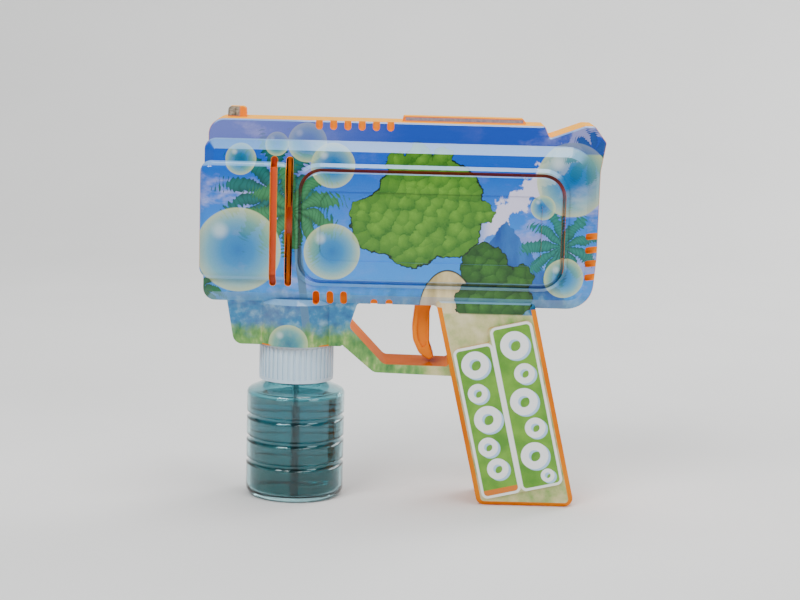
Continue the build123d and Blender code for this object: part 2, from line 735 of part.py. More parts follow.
# ---------------------------------------------------------------- spout, collar and bottle
with BuildPart() as bottle_socket:
    with BuildSketch(level(-12.5, BOTTLE_X)):
        RectangleRounded(30, 20, 4)
    extrude(amount=2.4)
    with BuildSketch(level(-21.0, BOTTLE_X)):
        Circle(SPOUT_R)
    extrude(amount=13.5)
    with BuildSketch(level(-22.2, BOTTLE_X)):
        Circle(10.6)
    extrude(amount=1.6)
    with BuildSketch(level(-23.0, BOTTLE_X)):
        Circle(TUBE_R + 0.02)
    extrude(amount=20, mode=Mode.SUBTRACT)
    # air returns to the bottle through a small side hole
    with BuildSketch(level(-23.0, BOTTLE_X)):
        with Locations((4.5, 0)):
            Circle(0.8)
    extrude(amount=20, mode=Mode.SUBTRACT)
save(bottle_socket.part, "bottle_socket")

with BuildPart() as bottle_seal:
    with BuildSketch(level(-23.7, BOTTLE_X)):
        Circle(12.2)
        Circle(7.0, mode=Mode.SUBTRACT)
    extrude(amount=1.4)
save(bottle_seal.part, "bottle_seal")

with BuildPart() as bottle_collar:
    with BuildSketch(level(COLLAR_BASE, BOTTLE_X)):
        Circle(COLLAR_R - 0.6)
    extrude(amount=COLLAR_TOP - COLLAR_BASE)
    fillet(bottle_collar.faces().sort_by(Axis.Z)[-1].edges(), 2.0)
    with BuildSketch(level(COLLAR_BASE, BOTTLE_X)):
        Circle(COLLAR_R)
    extrude(amount=1.6)
    with BuildSketch(level(COLLAR_BASE + 1.6, BOTTLE_X)):
        with PolarLocations(COLLAR_R - 0.7, COLLAR_RIBS):
            Rectangle(1.4, 1.3)
    extrude(amount=14.4)
    with BuildSketch(level(COLLAR_BASE, BOTTLE_X)):
        Circle(NECK_R + 1.3)
    extrude(amount=COLLAR_TOP - COLLAR_BASE - 3.4, mode=Mode.SUBTRACT)
    with BuildSketch(level(COLLAR_BASE, BOTTLE_X)):
        Circle(SPOUT_R + RUNNING_GAP)
    extrude(amount=COLLAR_TOP - COLLAR_BASE, mode=Mode.SUBTRACT)
save(bottle_collar.part, "bottle_collar")

BOTTLE_SIDE = Plane(origin=(BOTTLE_X, 0, BODY_Z), x_dir=(1, 0, 0), z_dir=(0, -1, 0))
BOTTLE_AXIS = Axis((BOTTLE_X, 0, 0), (0, 0, 1))


def bottle_room(inset, top):
    """Round room up to a level top, inset from the outside of the bottle; it follows the grooves."""
    with BuildPart() as room:
        with BuildSketch(BOTTLE_SIDE):
            with BuildLine():
                FilletPolyline(
                    (0, GROUND + 2.0 + inset), (BOTTLE_R - inset - 0.8, GROUND + 1.0 + inset),
                    (BOTTLE_R - inset, BOTTLE_SHOULDER - inset),
                    (NECK_R - 0.6 - inset, BOTTLE_SHOULDER + BOTTLE_SHOULDER_RISE - inset),
                    (NECK_R - 0.6 - inset, NECK_TOP + 1), (0, NECK_TOP + 1),
                    radius=[0, 2.5, 1.8, 1.0, 0, 0],
                    close=True,
                )
            make_face()
        revolve(axis=BOTTLE_AXIS)
        with BuildSketch(BOTTLE_SIDE):
            with Locations([(BOTTLE_R + GROOVE_OUT, GROOVE_TOP - GROOVE_PITCH * i) for i in range(3)]):
                Circle(GROOVE_R + inset)
        revolve(axis=BOTTLE_AXIS, mode=Mode.SUBTRACT)
        with BuildSketch(level(top, BOTTLE_X)):
            Circle(BOTTLE_R)
        extrude(amount=60, mode=Mode.SUBTRACT)
    return room.part


with BuildPart() as bottle:
    with BuildSketch(BOTTLE_SIDE):
        with BuildLine():
            FilletPolyline(
                (0, GROUND), (BOTTLE_R, GROUND), (BOTTLE_R, BOTTLE_SHOULDER),
                (NECK_R, BOTTLE_SHOULDER + BOTTLE_SHOULDER_RISE), (NECK_R, NECK_TOP), (0, NECK_TOP),
                radius=[0, 3.5, 2.6, 1.4, 0, 0],
                close=True,
            )
        make_face()
    revolve(axis=BOTTLE_AXIS)
    with BuildSketch(BOTTLE_SIDE):
        with Locations([(BOTTLE_R + GROOVE_OUT, GROOVE_TOP - GROOVE_PITCH * i) for i in range(3)]):
            Circle(GROOVE_R)
    revolve(axis=BOTTLE_AXIS, mode=Mode.SUBTRACT)
    add(bottle_room(BOTTLE_WALL, NECK_TOP), mode=Mode.SUBTRACT)
    # hollow under the foot
    with BuildSketch(level(GROUND, BOTTLE_X)):
        Circle(16)
    extrude(amount=0.8, taper=30, mode=Mode.SUBTRACT)
    # mouth and outside thread rings
    with BuildSketch(level(NECK_TOP - 2, BOTTLE_X)):
        Circle(NECK_R - 1.6)
    extrude(amount=4, mode=Mode.SUBTRACT)
    for height in (-27.0, -30.6, -34.2):
        with BuildSketch(level(height, BOTTLE_X)):
            Circle(NECK_R + 0.9)
            Circle(NECK_R - 0.5, mode=Mode.SUBTRACT)
        extrude(amount=1.2)
save(bottle.part, "bottle")

with BuildPart() as bubble_solution:
    add(bottle_room(BOTTLE_WALL + RUNNING_GAP, LIQUID_TOP))
    with BuildSketch(level(GROUND + 2.0, BOTTLE_X)):
        Circle(TUBE_R + 0.4)
    extrude(amount=60, mode=Mode.SUBTRACT)
save(bubble_solution.part, "bubble_solution")

# ---------------------------------------------------------------- trigger and switch
SPRING_R, SPRING_WIRE, SPRING_TURNS = 2.0, 0.35, 5
SPRING_FRONT, SPRING_REAR = 16.4, 24.6
SPRING_Y, SPRING_Z = -2.3, 5.2
POCKET_FLOOR_X, POCKET_R = 14.3, 2.9

with BuildPart() as trigger:
    with BuildSketch(side(0)):
        with BuildLine():
            FilletPolyline(
                (7.4, 20), (7.0, -1.5), (5.9, -12), (6.4, -17.5), (9.4, -24), (14.4, -27.2),
                (16.4, -25.6), (14.2, -19.5), (14.0, -4), (16.0, 3), (16.0, 20),
                radius=[3.5, 8, 6, 8, 5, 1.2, 0.8, 4, 4, 0.5, 3.5],
                close=True,
            )
        make_face()
    extrude(amount=TRIGGER_HALF, both=True)
    fillet(trigger.faces().filter_by(Axis.Y).edges(), 0.9)
    # hollow sides leave the moulded edge rim, and the lower back is notched
    for sign in (1, -1):
        with BuildSketch(side(sign * TRIGGER_HALF)):
            with BuildLine():
                FilletPolyline(
                    (9.0, -3), (8.0, -12), (8.6, -17), (11.4, -22.4), (13.0, -19.0), (13.2, -3),
                    radius=[1, 4, 4, 1, 1, 1],
                    close=True,
                )
            make_face()
        extrude(amount=sign * 1.2, mode=Mode.SUBTRACT)
    with BuildSketch(side(0)):
        block(13.4, 18, -23.2, -18.6, 0.6)
    extrude(amount=TRIGGER_HALF - 2, both=True, mode=Mode.SUBTRACT)
    # pocket for the spring, low enough for the pocket to rise round the spring's end as the trigger turns
    with BuildSketch(across(POCKET_FLOOR_X, SPRING_Z - 0.2)):
        with Locations((SPRING_Y, 0)):
            Circle(POCKET_R)
    extrude(amount=4, mode=Mode.SUBTRACT)
    with BuildSketch(side(0)):
        with Locations(TRIGGER_PIVOT):
            Circle(PIN_R + RUNNING_GAP)
    extrude(amount=TRIGGER_HALF + 1, both=True, mode=Mode.SUBTRACT)
save(trigger.part, "trigger")

with BuildPart() as trigger_pin:
    with BuildSketch(side(0)):
        with Locations(TRIGGER_PIVOT):
            Circle(PIN_R)
    extrude(amount=TRIGGER_HALF + 5.2, both=True)
save(trigger_pin.part, "trigger_pin")

spring_path = Helix(
    pitch=(SPRING_REAR - SPRING_FRONT) / SPRING_TURNS,
    height=SPRING_REAR - SPRING_FRONT,
    radius=SPRING_R,
    center=(SPRING_FRONT, SPRING_Y, BODY_Z + SPRING_Z),
    direction=(1, 0, 0),
)
save(tube(Wire([spring_path]), SPRING_WIRE, 0), "trigger_spring")

SWITCH_Y, SWITCH_Z = 4.0, 5.2
with BuildPart() as switch_body:
    with BuildSketch(side(SWITCH_Y + 3)):
        block(19.0, 26.0, SWITCH_Z - 4, SWITCH_Z + 4.5, 0.5)
    extrude(amount=6)
    with BuildSketch(across(18, SWITCH_Z)):
        with Locations((SWITCH_Y, 0)):
            Circle(1.0 + RUNNING_GAP)
    extrude(amount=6.5, mode=Mode.SUBTRACT)
    with BuildSketch(across(26, SWITCH_Z)):
        with Locations((SWITCH_Y, 2.6), (SWITCH_Y, -2.4)):
            Rectangle(2.0, 0.5)
    extrude(amount=2.6)
save(switch_body.part, "switch_body")

with BuildPart() as switch_plunger:
    with BuildSketch(across(16.5, SWITCH_Z)):
        with Locations((SWITCH_Y, 0)):
            Circle(1.0)
    extrude(amount=5.4)
save(switch_plunger.part, "switch_plunger")

# ---------------------------------------------------------------- batteries
CELL_TOP = CELL_BASE + CELL_LENGTH + 1.6
# place of each cell square to the grip's axis: from front to rear, and to the right
CELLS = [(-CELL_PITCH, -CELL_SIDE), (CELL_PITCH, -CELL_SIDE), (0, CELL_SIDE)]

with BuildPart() as battery_box:
    with BuildSketch(grip_section(CELL_BASE - 3.0)):
        with Locations((0, -0.4)):
            Rectangle(36, 28.8)
    extrude(amount=CELL_LENGTH + 8.4)
    with BuildSketch(grip_section(CELL_BASE - 1.4)):
        with Locations((0, 0.45)):
            Rectangle(33.6, 29.1)
    extrude(amount=CELL_LENGTH + 5.0, mode=Mode.SUBTRACT)
save(battery_box.part, "battery_box")

with BuildPart() as battery_contacts:
    for across_grip, to_right in CELLS:
        for height in (CELL_BASE - 1.2, CELL_TOP + 0.8):
            with BuildSketch(grip_section(height)):
                with Locations((across_grip, to_right)):
                    RectangleRounded(9.0, 9.0, 1.5)
            extrude(amount=0.4)
        with BuildSketch(grip_section(CELL_BASE - 0.8)):
            with Locations((across_grip, to_right)):
                Circle(3.2)
                Circle(2.2, mode=Mode.SUBTRACT)
        extrude(amount=0.7)
save(battery_contacts.part, "battery_contacts")

for number, (across_grip, to_right) in enumerate(CELLS):
    with BuildPart() as battery:
        with BuildSketch(grip_section(CELL_BASE)):
            with Locations((across_grip, to_right)):
                Circle(CELL_R)
        extrude(amount=CELL_LENGTH)
        fillet(battery.edges().filter_by(GeomType.CIRCLE), 0.5)
        with BuildSketch(grip_section(CELL_BASE + CELL_LENGTH)):
            with Locations((across_grip, to_right)):
                Circle(2.6)
        extrude(amount=1.4)
    save(battery.part, f"battery_{number + 1}")

HATCH_HALF_WIDTH, HATCH_HALF_HEIGHT = 16.2, 28.7
with BuildPart() as battery_cover:
    with BuildSketch(grip_side(GRIP_HALF)):
        with Locations((0, HATCH_MIDDLE)):
            RectangleRounded(2 * HATCH_HALF_WIDTH, 2 * HATCH_HALF_HEIGHT, 2.2)
    extrude(amount=1.8)
    # grip lines
    with BuildSketch(grip_side(GRIP_HALF)):
        with Locations([(0, HATCH_MIDDLE + 16 - 2.4 * i) for i in range(5)]):
            Rectangle(18, 1.0)
    extrude(amount=0.5, mode=Mode.SUBTRACT)
    with BuildSketch(grip_side(GRIP_HALF)):
        with Locations((0, HATCH_MIDDLE - HATCH_HALF_HEIGHT + 5.5)):
            Circle(3.0)
    extrude(amount=1.0, mode=Mode.SUBTRACT)
    with BuildSketch(grip_side(GRIP_HALF)):
        with Locations((0, HATCH_MIDDLE - HATCH_HALF_HEIGHT + 5.5)):
            Circle(1.3)
    extrude(amount=2.0, mode=Mode.SUBTRACT)
save(battery_cover.part, "battery_cover")

with BuildPart() as battery_cover_screw:
    with BuildSketch(grip_side(GRIP_HALF - 0.1)):
        with Locations((0, HATCH_MIDDLE - HATCH_HALF_HEIGHT + 5.5)):
            Circle(2.6)
    extrude(amount=0.9)
    with BuildSketch(grip_side(GRIP_HALF - 0.1)):
        with Locations((0, HATCH_MIDDLE - HATCH_HALF_HEIGHT + 5.5)):
            Rectangle(3.0, 0.6)
            Rectangle(0.6, 3.0)
    extrude(amount=0.5, mode=Mode.SUBTRACT)
    with BuildSketch(grip_side(GRIP_HALF - 1.0)):
        with Locations((0, HATCH_MIDDLE - HATCH_HALF_HEIGHT + 5.5)):
            Circle(1.2)
    extrude(amount=1.1)
save(battery_cover_screw.part, "battery_cover_screw")

# ---------------------------------------------------------------- lights and wires
with BuildPart() as led_board:
    with BuildSketch(across(-85.4, 60.2)):
        RectangleRounded(24, 5.0, 0.6)
    extrude(amount=1.2)
save(led_board.part, "led_board")

with BuildPart() as leds:
    for y in (-7, 7):
        with BuildSketch(across(-92.1, 60.2)):
            with Locations((y, 0)):
                Circle(1.5)
        extrude(amount=5.7)
        with BuildSketch(across(-86.4, 60.2)):
            with Locations((y, 0)):
                Circle(1.9)
        extrude(amount=1.0)
    fillet(leds.faces().sort_by(Axis.X)[:2].edges(), 1.3)
save(leds.part, "leds")

WIRE_R = 0.55
# each wire's route, with heights counted from the underside of the body, and its bend radii
WIRES = [
    ([(28.8, 4, 7.8), (33.5, 5, 9), (26, 7, 30), (-4, 7, 47.5), (-21.2, 5, 45)], [3, 10, 8]),
    ([(46.8, -4, -30.2), (41.2, -4, -6), (16, -7, 38), (-6, -7, 49), (-21.2, -5, 45)], [12, 10, 6]),
    ([(48.5, 3, -29.8), (42.5, 4, -6), (36, 4, 2), (28.8, 4, 2.8)], [6, 4]),
    ([(-22.1, -5, 46), (-24, -5, 53), (-46, -4, 58.8), (-76, -4, 60.2), (-84, -4, 60.2)], [3, 10, 8]),
]
with BuildPart() as wires:
    for route, radii in WIRES:
        with BuildLine() as wire_path:
            FilletPolyline([(x, y, BODY_Z + z) for x, y, z in route], radius=radii)
        add(tube(wire_path.wire(), WIRE_R, 0))
save(wires.part, "wires")
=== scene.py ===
import math

import bpy
from mathutils import Matrix, Vector

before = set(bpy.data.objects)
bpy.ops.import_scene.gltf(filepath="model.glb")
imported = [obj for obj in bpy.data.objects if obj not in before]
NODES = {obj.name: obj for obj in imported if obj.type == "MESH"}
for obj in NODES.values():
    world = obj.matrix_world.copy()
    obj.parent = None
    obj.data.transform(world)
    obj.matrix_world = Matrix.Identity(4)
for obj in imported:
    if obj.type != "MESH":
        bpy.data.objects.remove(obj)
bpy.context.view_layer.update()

MM = 0.001
# underside of the body above the ground, in mm: the shell's print is laid out from it
BODY_Z = 93.6
# half the thickness of the body's base form, the socket and the guard, in mm
BASE_HALF = 13.5
# middle of the bottle and its socket along X, in mm
BOTTLE_X = -48.0
# the grip's foot, and the directions along and across it
GRIP_LEAN = math.radians(13.0)
GRIP_FOOT = Vector((61.41, 0, 0)) * MM
GRIP_UP = Vector((-math.sin(GRIP_LEAN), 0, math.cos(GRIP_LEAN)))
GRIP_ACROSS = Vector((math.cos(GRIP_LEAN), 0, math.sin(GRIP_LEAN)))


def at(x, z):
    """A point on the middle plane, from millimetres, with z counted from the body's underside."""
    return Vector((x, 0, z + BODY_Z)) * MM


def level(z):
    """A height in metres from millimetres above the underside of the body."""
    return (BODY_Z + z) * MM


# ---------------------------------------------------------------- camera and lamps
TARGET = at(0, 0)
CAMERA_PITCH, CAMERA_ROLL = math.radians(9.0), math.radians(1.5)
CAMERA_DISTANCE = 0.93
SENSOR_WIDTH, LENS = 36.0, 89.28  # mm
# name, place in metres, width and height in metres, and power in watts
LAMPS = [
    ("key", (-0.7, -1.0, 1.25), (0.8, 0.5), 20),
    ("fill", (1.1, -1.1, 0.55), (0.7, 0.9), 8),
    ("top", (0.1, 0.05, 1.3), (1.1, 0.5), 13),
    ("rim", (0.8, 0.8, 0.7), (0.5, 0.8), 8),
]
WORLD_COLOUR, WORLD_STRENGTH = (0.93, 0.96, 1.0, 1), 0.22


def make_camera():
    data = bpy.data.cameras.new("camera")
    data.sensor_width, data.lens = SENSOR_WIDTH, LENS
    data.clip_start, data.clip_end = 0.01, 20
    camera = bpy.data.objects.new("camera", data)
    bpy.context.collection.objects.link(camera)
    back = Vector((0, -math.cos(CAMERA_PITCH), math.sin(CAMERA_PITCH)))
    turn = (-back).to_track_quat("-Z", "Y").to_matrix().to_4x4()
    place = Matrix.Translation(TARGET + back * CAMERA_DISTANCE)
    camera.matrix_world = place @ turn @ Matrix.Rotation(CAMERA_ROLL, 4, "Z")
    bpy.context.scene.camera = camera


def area_light(name, place, size, power):
    data = bpy.data.lights.new(name, "AREA")
    data.shape = "RECTANGLE"
    data.size, data.size_y = size
    data.energy = power
    light = bpy.data.objects.new(name, data)
    bpy.context.collection.objects.link(light)
    light.location = place
    light.rotation_euler = (TARGET - Vector(place)).to_track_quat("-Z", "Y").to_euler()


# ---------------------------------------------------------------- node graphs
class Paint:
    """A material's node graph. A method that makes a value returns the output socket it is on."""

    def __init__(self, name, roughness=0.4, metallic=0.0, **shader_inputs):
        self.material = bpy.data.materials.new(name)
        self.material.use_nodes = True
        self.tree = self.material.node_tree
        self.shader = self.tree.nodes["Principled BSDF"]
        self.put(self.shader.inputs["Roughness"], roughness)
        self.put(self.shader.inputs["Metallic"], metallic)
        for socket, value in shader_inputs.items():
            self.put(self.shader.inputs[socket.replace("_", " ")], value)
        coordinates = self.node("ShaderNodeTexCoord").outputs
        self.place, self.normal = coordinates["Object"], coordinates["Normal"]

    def node(self, kind, **settings):
        node = self.tree.nodes.new(kind)
        for key, value in settings.items():
            setattr(node, key, value)
        return node

    def put(self, socket, value):
        if isinstance(value, bpy.types.NodeSocket):
            self.tree.links.new(value, socket)
        elif isinstance(socket.default_value, float) or isinstance(value, (float, int)):
            socket.default_value = value
        else:
            value = tuple(value)
            lacks_alpha = len(socket.default_value) == 4 and len(value) == 3
            socket.default_value = value + (1.0,) if lacks_alpha else value

    def math(self, operation, a, b=0.0, c=0.0):
        node = self.node("ShaderNodeMath", operation=operation)
        for socket, value in zip(node.inputs, (a, b, c)):
            self.put(socket, value)
        return node.outputs[0]

    def times(self, first, *others):
        """The product of all the values."""
        for other in others:
            first = self.math("MULTIPLY", first, other)
        return first

    def absolute(self, value):
        return self.math("ABSOLUTE", value)

    def vector(self, operation, a, b=(0, 0, 0)):
        node = self.node("ShaderNodeVectorMath", operation=operation)
        self.put(node.inputs[0], a)
        self.put(node.inputs[1], b)
        gives_number = operation in ("DISTANCE", "DOT_PRODUCT", "LENGTH")
        return node.outputs["Value" if gives_number else "Vector"]

    def join(self, across, up):
        """A vector with across as X and up as Y."""
        node = self.node("ShaderNodeCombineXYZ")
        self.put(node.inputs[0], across)
        self.put(node.inputs[1], up)
        return node.outputs[0]

    def split(self, vector):
        node = self.node("ShaderNodeSeparateXYZ")
        self.put(node.inputs[0], vector)
        return node.outputs["X"], node.outputs["Y"], node.outputs["Z"]

    def ease(self, value, low, high, out_low=0.0, out_high=1.0):
        """Smooth step of value from low to high."""
        node = self.node("ShaderNodeMapRange", interpolation_type="SMOOTHSTEP")
        for socket, number in zip(node.inputs, (value, low, high, out_low, out_high)):
            self.put(socket, number)
        return node.outputs[0]

    def fade(self, value, low, high):
        """1 below low and 0 above high."""
        return self.ease(value, low, high, 1.0, 0.0)

    def noise(self, scale, detail=3.0, vector=None, rough=0.55):
        node = self.node("ShaderNodeTexNoise")
        self.put(node.inputs["Vector"], self.place if vector is None else vector)
        self.put(node.inputs["Scale"], scale)
        self.put(node.inputs["Detail"], detail)
        self.put(node.inputs["Roughness"], rough)
        return node.outputs["Fac"]

    def rough_edge(self, value, scale, detail, reach, vector=None, low=0.2, high=0.8):
        """value, moved up and down by at most reach."""
        grain = self.noise(scale, detail, vector)
        return self.math("ADD", value, self.ease(grain, low, high, -reach, reach))

    def warp(self, vector, scale, reach):
        """vector, pushed about by a soft noise."""
        node = self.node("ShaderNodeTexNoise")
        self.put(node.inputs["Vector"], vector)
        self.put(node.inputs["Scale"], scale)
        shift = self.vector("SUBTRACT", node.outputs["Color"], (0.5, 0.5, 0.5))
        return self.vector("ADD", vector, self.vector("MULTIPLY", shift, reach))

    def mix(self, amount, below, above, blend="MIX"):
        node = self.node("ShaderNodeMix", data_type="RGBA", blend_type=blend)
        self.put(node.inputs["Factor"], amount)
        self.put(node.inputs[6], below)
        self.put(node.inputs[7], above)
        return node.outputs[2]

    def ramp(self, value, stops):
        node = self.node("ShaderNodeValToRGB")
        elements = node.color_ramp.elements
        while len(elements) < len(stops):
            elements.new(0.5)
        for element, (position, colour) in zip(elements, stops):
            element.position = position
            element.color = tuple(colour) + (1.0,)
        self.put(node.inputs[0], value)
        return node.outputs[0]

    def bump(self, height, distance, strength=0.5):
        node = self.node("ShaderNodeBump")
        self.put(node.inputs["Strength"], strength)
        self.put(node.inputs["Distance"], distance)
        self.put(node.inputs["Height"], height)
        self.put(self.shader.inputs["Normal"], node.outputs[0])

    def colour(self, value):
        self.put(self.shader.inputs["Base Color"], value)

    def roughness(self, value):
        self.put(self.shader.inputs["Roughness"], value)

    def within(self, value, low, high, soft):
        """1 where value lies between low and high."""
        rise = self.ease(value, low - soft, low + soft)
        return self.times(rise, self.fade(value, high - soft, high + soft))


# ---------------------------------------------------------------- plain moulded materials
def moulded(name, colour, roughness=0.38, variation=0.08, grain=900, coat=0.0, **more):
    """Injection-moulded plastic: faint flow marks, a fine spark-eroded grain and uneven gloss."""
    paint = Paint(name, Coat_Weight=coat, **more)
    flow = paint.noise(38, 4)
    dark = [c * (1 - 2 * variation) for c in colour]
    light = [min(1, c * (1 + variation)) for c in colour]
    paint.colour(paint.ramp(flow, [(0.3, dark), (0.55, colour), (0.75, light)]))
    smooth, worn = roughness - 0.07, roughness + 0.09
    paint.roughness(paint.ease(paint.noise(160, 3), 0.3, 0.7, smooth, worn))
    paint.bump(paint.noise(grain * 2.2, 2), 0.00006, 0.35)
    return paint


def metal(name, colour, roughness=0.28):
    """Plated steel with streaks drawn along X."""
    paint = Paint(name, metallic=1.0)
    streaks = paint.noise(40, 5, paint.vector("MULTIPLY", paint.place, (1, 14, 14)))
    paint.colour(paint.ramp(streaks, [(0.3, [c * 0.78 for c in colour]), (0.7, colour)]))
    paint.roughness(paint.ease(streaks, 0.3, 0.7, roughness - 0.08, roughness + 0.14))
    paint.bump(streaks, 0.00003, 0.3)
    return paint


# ---------------------------------------------------------------- the printed shell
ORANGE = (0.95, 0.27, 0.004)
SKY_HIGH, SKY_LOW = (0.004, 0.07, 0.48), (0.018, 0.25, 0.78)
CREAM = (0.74, 0.60, 0.32)
PLUME = (0.76, 0.70, 0.84)
OUTLINE = (0.03, 0.03, 0.01)
LEAF_OUTLINE = (0.006, 0.022, 0.008)
STRIP_FRONT, STRIP_REAR = (0.20, 0.21, 0.50), (0.02, 0.055, 0.36)
# pale blue painted highlight on the shell's bevels
BEVEL_HIGHLIGHT = (0.30, 0.62, 0.98)
# bare orange: a painted highlight for where it faces up, and painted shade for low down round the guard
ORANGE_PAINTED_LIGHT, ORANGE_PAINTED_SHADE = (1.0, 0.43, 0.015), (0.46, 0.095, 0.001)
# dark red painted shade in the upper part of the groove round the side panel
GROOVE_SHADE = (0.36, 0.035, 0.002)
PLATE_EDGE, PLATE_BAND = (0.84, 0.86, 0.80), (0.62, 0.16, 0.01)

# ramps of tints: where along the noise each lies, and its colour
CLOUD_TINTS = [(0.35, (0.16, 0.20, 0.60)), (0.55, (0.44, 0.42, 0.76)), (0.75, (0.76, 0.70, 0.86))]
ROCK_TINTS = [(0.35, (0.004, 0.06, 0.30)), (0.7, (0.02, 0.14, 0.44))]
WATER_TINTS = [(0.3, (0.004, 0.05, 0.13)), (0.52, (0.02, 0.16, 0.28)), (0.72, (0.22, 0.42, 0.46))]
BARK_TINTS = [(0.35, (0.42, 0.32, 0.13)), (0.6, CREAM), (0.8, (0.80, 0.70, 0.44))]
GRASS_TINTS = [(0.3, (0.02, 0.14, 0.03)), (0.55, (0.15, 0.34, 0.07)), (0.75, (0.52, 0.56, 0.22))]
GRIP_TINTS = [(0.32, (0.14, 0.32, 0.05)), (0.5, (0.52, 0.50, 0.22)), (0.7, (0.74, 0.66, 0.40))]
PLATE_TINTS = [(0.35, (0.07, 0.24, 0.012)), (0.65, (0.15, 0.36, 0.025))]
SPECKLE_TINTS = [(0.34, (0.09, 0.09, 0.08)), (0.66, (0.42, 0.41, 0.36))]
BARE_TINTS = [(0.3, (0.84, 0.19, 0.003)), (0.55, ORANGE), (0.75, (0.97, 0.32, 0.008))]
# from a bubble's heart to its rim: how much it covers, and its colour
BUBBLE_COVER = [
    (share, (cover,) * 3)
    for share, cover in ((0.0, 0.72), (0.55, 0.70), (0.90, 0.80), (0.975, 0.85), (1.0, 0.0))
]
BUBBLE_TINTS = [
    (0.0, (0.002, 0.10, 0.28)), (0.36, (0.015, 0.19, 0.36)),
    (0.70, (0.16, 0.38, 0.35)), (0.97, (0.48, 0.57, 0.30)),
]

# x, z and radius of the printed bubbles, in mm
BUBBLES = [
    (-74.5, 24.5, 19.8), (-31.7, 24.7, 13.0), (77.5, 60.0, 17.0), (74.6, 15.0, 9.3), (-74.0, 66.0, 7.1),
    (-44.0, 74.0, 9.0), (-57.8, 73.0, 5.4), (-32.0, 64.0, 10.2), (64.0, 47.4, 5.7), (-51.0, -19.0, 9.3),
]
# x, z and radius of the rounded parts of the tree's crown and of the bush beside it
CROWN = [
    (-10, 38, 14), (7, 49, 20), (20, 51, 17), (23, 36, 13), (5, 33, 15), (-3, 66, 5), (7, 69, 6),
    (18, 69, 5), (37, 44, 5), (-19, 44, 5),
]
BUSH = [(38, 20, 11), (46, 8, 13), (35, 3, 10), (55, 15, 6), (53, 4, 8)]
# x, z, radius, number of fronds, turn and colour of the palms
PALMS = [
    (-57, 50, 30, 11, 0.4, (0.010, 0.13, 0.12)),
    (-49, 42, 26, 9, 1.3, (0.035, 0.20, 0.075)),
    (73, 28, 20, 10, 0.9, (0.012, 0.18, 0.15)),
    (86, 70, 14, 8, 0.2, (0.010, 0.10, 0.13)),
    (-90, 4, 11, 7, 0.1, (0.012, 0.14, 0.05)),
]
# across, up and radius of the rings on the grip's two plates, in mm
PLAQUE_RINGS = [
    (-10.2, 71.0, 6.4), (-11.6, 57.5, 4.6), (-9.4, 44.6, 6.4), (-11.8, 31.6, 4.6), (-9.4, 20.6, 5.0),
    (9.4, 76.5, 6.6), (11.4, 62.6, 4.8), (8.6, 49.6, 6.4), (11.4, 36.4, 4.8), (8.6, 23.4, 6.4),
    (12.8, 13.0, 3.2),
]
# shift in mm and colour of each ring's shadow and of the ring itself
RING_COATS = [((0.9, -0.9), (0.36, 0.56, 0.78)), ((0, 0), (0.85, 0.87, 0.88))]
# x, z and half sizes of the slots and notches whose insides are bare, in mm
SLOTS = [(-58.7, 37.7, 1.6, 29.9), (-51.7, 37.7, 1.6, 29.9)]  # long slots
SLOTS += [(x, 2.9, 1.6, 3.3) for x in (-38.7, -32.3, -26.0)]  # short slots
SLOTS += [(-38.8 + 6.5 * i, 83.2, 1.6, 3.4) for i in range(6)]  # top notches
SLOTS += [(87.4, 15.3 + 6.3 * i, 3.3, 1.5) for i in range(4)]  # rear notches
SLOTS += [(-12.0, 0.4, 1.6, 2.2), (-5.0, 0.4, 1.6, 2.2)]  # lower notches
# middle of the side panel, in mm
PANEL_X, PANEL_Z = 13.5, 36.35
# from the middle plane, just inside the face of the rim round the side panel, in metres
RIM_FACE = (0.0203, 0.0206)


class Shell(Paint):
    """The casing's paint, with the places and directions that its print is laid out by."""

    def __init__(self):
        super().__init__("printed_shell", Coat_Roughness=0.06, Specular_IOR_Level=0.0)
        self.x, y, self.z = self.split(self.place)
        self.flat = self.vector("MULTIPLY", self.place, (1, 0, 1))
        self.sheet = self.join(self.x, self.z)
        self.out = self.absolute(y)
        self.right_side = self.ease(y, -0.001, 0.001)
        normal_x, normal_y, self.normal_z = self.split(self.normal)
        self.facing_end = self.absolute(normal_x)
        self.facing_side = self.ease(self.absolute(normal_y), 0.80, 0.86)

    def squashed(self, up):
        """Places for a noise that is stretched upwards, by less for a larger number."""
        return self.vector("MULTIPLY", self.flat, (1, 0, up))

    def tints(self, stops, scale, detail, vector=None):
        """Colours from the stops, spread by noise."""
        return self.ramp(self.noise(scale, detail, vector), stops)


def rounded_box(paint, across, up, centre, half, radius):
    """Signed distance in metres to a rounded rectangle in the (across, up) plane."""
    gaps = []
    for value, middle, extent in ((across, centre[0], half[0]), (up, centre[1], half[1])):
        gap = paint.absolute(paint.math("SUBTRACT", value, middle * MM))
        gap = paint.math("SUBTRACT", gap, (extent - radius) * MM)
        gaps.append(paint.math("MAXIMUM", gap, 0.0))
    squares = [paint.math("POWER", gap, 2.0) for gap in gaps]
    length = paint.math("SQRT", paint.math("ADD", *squares))
    return paint.math("SUBTRACT", length, radius * MM)


def sky(shell):
    picture = shell.mix(shell.ease(shell.z, level(5), level(84)), SKY_LOW, SKY_HIGH)
    stretched = shell.vector("MULTIPLY", shell.flat, (0.55, 0, 1))
    cloudy = shell.ease(shell.noise(46, 5, stretched, 0.6), 0.50, 0.64, 0.0, 0.88)
    front = shell.ease(shell.x, -0.060, -0.020, 1.0, 0.12)
    rear = shell.ease(shell.x, 0.030, 0.062, 0.0, 1.0)
    cloudy = shell.times(cloudy, shell.math("ADD", front, rear))
    return shell.mix(cloudy, picture, shell.tints(CLOUD_TINTS, 60, 3, stretched))


